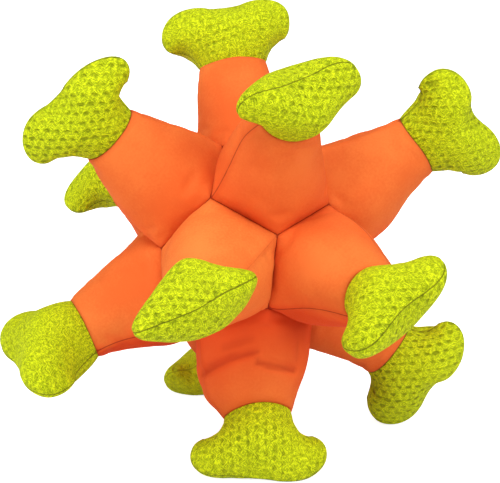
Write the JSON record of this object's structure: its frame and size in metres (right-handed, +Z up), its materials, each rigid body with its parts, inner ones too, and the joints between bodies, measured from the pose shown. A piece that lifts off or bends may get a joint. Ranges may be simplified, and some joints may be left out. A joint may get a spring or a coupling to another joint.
{
  "type": "fabric dog toy",
  "caption": "Stuffed fabric ball of canvas arms sewn edge to edge, each ending in a padded mesh bone end with two lobes, standing on three of them.",
  "frame": {"origin": "on the surface that the toy stands on, under the middle of its outer size", "axes": "+Z up, -Y towards the viewer of the picture, +X to the right in the picture"},
  "size_m": [0.2211, 0.2187, 0.1883],
  "materials": {
    "orange_canvas": "matt plain-weave canvas, bright orange",
    "lime_mesh": "matt air mesh with small oval holes, lime green",
    "fibre_fill": "loose white polyester fibre",
    "pale_plastic": "thin soft moulded plastic"
  },
  "bodies": {
    "core": {"fill_core": "fibre_fill", "squeaker_bellows": "pale_plastic", "squeaker_reed": "pale_plastic"},
    "arm_top": {"fill_top": "fibre_fill", "bone_end_top": "lime_mesh", "sleeve_top_wide": "orange_canvas", "sleeve_top_narrow": "orange_canvas"},
    "arm_front_foot": {"fill_front_foot": "fibre_fill", "bone_end_front_foot": "lime_mesh", "sleeve_front_foot_wide": "orange_canvas", "sleeve_front_foot_narrow": "orange_canvas"},
    "arm_rear_left": {"fill_rear_left": "fibre_fill", "bone_end_rear_left": "lime_mesh", "sleeve_rear_left_wide": "orange_canvas", "sleeve_rear_left_narrow": "orange_canvas"},
    "arm_front_right": {"fill_front_right": "fibre_fill", "bone_end_front_right": "lime_mesh", "sleeve_front_right_wide": "orange_canvas", "sleeve_front_right_narrow": "orange_canvas"},
    "arm_upper_left": {"fill_upper_left": "fibre_fill", "bone_end_upper_left": "lime_mesh", "sleeve_upper_left_wide": "orange_canvas", "sleeve_upper_left_narrow": "orange_canvas"},
    "arm_right_foot": {"fill_right_foot": "fibre_fill", "bone_end_right_foot": "lime_mesh", "sleeve_right_foot_wide": "orange_canvas", "sleeve_right_foot_narrow": "orange_canvas"},
    "arm_front_top": {"fill_front_top": "fibre_fill", "bone_end_front_top": "lime_mesh", "sleeve_front_top_wide": "orange_canvas", "sleeve_front_top_narrow": "orange_canvas"},
    "arm_rear_foot": {"fill_rear_foot": "fibre_fill", "bone_end_rear_foot": "lime_mesh", "sleeve_rear_foot_wide": "orange_canvas", "sleeve_rear_foot_narrow": "orange_canvas"},
    "arm_upper_right": {"fill_upper_right": "fibre_fill", "bone_end_upper_right": "lime_mesh", "sleeve_upper_right_wide": "orange_canvas", "sleeve_upper_right_narrow": "orange_canvas"},
    "arm_lower_left": {"fill_lower_left": "fibre_fill", "bone_end_lower_left": "lime_mesh", "sleeve_lower_left_wide": "orange_canvas", "sleeve_lower_left_narrow": "orange_canvas"},
    "arm_rear_right": {"fill_rear_right": "fibre_fill", "bone_end_rear_right": "lime_mesh", "sleeve_rear_right_wide": "orange_canvas", "sleeve_rear_right_narrow": "orange_canvas"},
    "arm_front_left": {"fill_front_left": "fibre_fill", "bone_end_front_left": "lime_mesh", "sleeve_front_left_wide": "orange_canvas", "sleeve_front_left_narrow": "orange_canvas"}
  },
  "joints": [
    {"name": "flex_top", "type": "hinge", "parent": "core", "child": "arm_top", "pos_m": [-0.00318, 0.02337, 0.12564], "axis": [0.9852, 0.1119, 0.1302], "range_deg": [-20, 20], "stiffness_Nm_per_rad": 1, "deforming": ["sleeve_top_wide", "sleeve_top_narrow"]},
    {"name": "flex_front_foot", "type": "hinge", "parent": "core", "child": "arm_front_foot", "pos_m": [-0.00082, -0.02317, 0.05576], "axis": [-0.9974, -0.0718, 0], "range_deg": [-20, 20], "stiffness_Nm_per_rad": 1, "deforming": ["sleeve_front_foot_wide", "sleeve_front_foot_narrow"]},
    {"name": "flex_rear_left", "type": "hinge", "parent": "core", "child": "arm_rear_left", "pos_m": [-0.03214, 0.02927, 0.09283], "axis": [0.6536, 0.4156, 0.6325], "range_deg": [-20, 20], "stiffness_Nm_per_rad": 1, "deforming": ["sleeve_rear_left_wide", "sleeve_rear_left_narrow"]},
    {"name": "flex_front_right", "type": "hinge", "parent": "core", "child": "arm_front_right", "pos_m": [0.02814, -0.02907, 0.08857], "axis": [0.7097, 0.4445, 0.5466], "range_deg": [-20, 20], "stiffness_Nm_per_rad": 1, "deforming": ["sleeve_front_right_wide", "sleeve_front_right_narrow"]},
    {"name": "flex_upper_left", "type": "hinge", "parent": "core", "child": "arm_upper_left", "pos_m": [-0.03364, -0.00749, 0.11726], "axis": [0.6529, -0.0467, 0.756], "range_deg": [-20, 20], "stiffness_Nm_per_rad": 1, "deforming": ["sleeve_upper_left_wide", "sleeve_upper_left_narrow"]},
    {"name": "flex_right_foot", "type": "hinge", "parent": "core", "child": "arm_right_foot", "pos_m": [0.02964, 0.00769, 0.06414], "axis": [-0.5941, 0.0891, -0.7994], "range_deg": [-20, 20], "stiffness_Nm_per_rad": 1, "deforming": ["sleeve_right_foot_wide", "sleeve_right_foot_narrow"]},
    {"name": "flex_front_top", "type": "hinge", "parent": "core", "child": "arm_front_top", "pos_m": [0.00786, -0.01938, 0.12658], "axis": [0.8649, 0.4887, 0.115], "range_deg": [-20, 20], "stiffness_Nm_per_rad": 1, "deforming": ["sleeve_front_top_wide", "sleeve_front_top_narrow"]},
    {"name": "flex_rear_foot", "type": "hinge", "parent": "core", "child": "arm_rear_foot", "pos_m": [-0.01186, 0.01958, 0.05482], "axis": [0.8416, 0.5401, 0], "range_deg": [-20, 20], "stiffness_Nm_per_rad": 1, "deforming": ["sleeve_rear_foot_wide", "sleeve_rear_foot_narrow"]},
    {"name": "flex_upper_right", "type": "hinge", "parent": "core", "child": "arm_upper_right", "pos_m": [0.035, 0.01004, 0.10791], "axis": [0.4799, 0.2314, -0.8463], "range_deg": [-20, 20], "stiffness_Nm_per_rad": 1, "deforming": ["sleeve_upper_right_wide", "sleeve_upper_right_narrow"]},
    {"name": "flex_lower_left", "type": "hinge", "parent": "core", "child": "arm_lower_left", "pos_m": [-0.039, -0.00984, 0.07349], "axis": [0.4113, -0.8817, -0.231], "range_deg": [-20, 20], "stiffness_Nm_per_rad": 1, "deforming": ["sleeve_lower_left_wide", "sleeve_lower_left_narrow"]},
    {"name": "flex_rear_right", "type": "hinge", "parent": "core", "child": "arm_rear_right", "pos_m": [0.01028, 0.0401, 0.08705], "axis": [-0.474, 0.1587, 0.8661], "range_deg": [-20, 20], "stiffness_Nm_per_rad": 1, "deforming": ["sleeve_rear_right_wide", "sleeve_rear_right_narrow"]},
    {"name": "flex_front_left", "type": "hinge", "parent": "core", "child": "arm_front_left", "pos_m": [-0.01428, -0.0399, 0.09435], "axis": [0.9113, 0.0392, 0.4098], "range_deg": [-20, 20], "stiffness_Nm_per_rad": 1, "deforming": ["sleeve_front_left_wide", "sleeve_front_left_narrow"]}
  ]
}
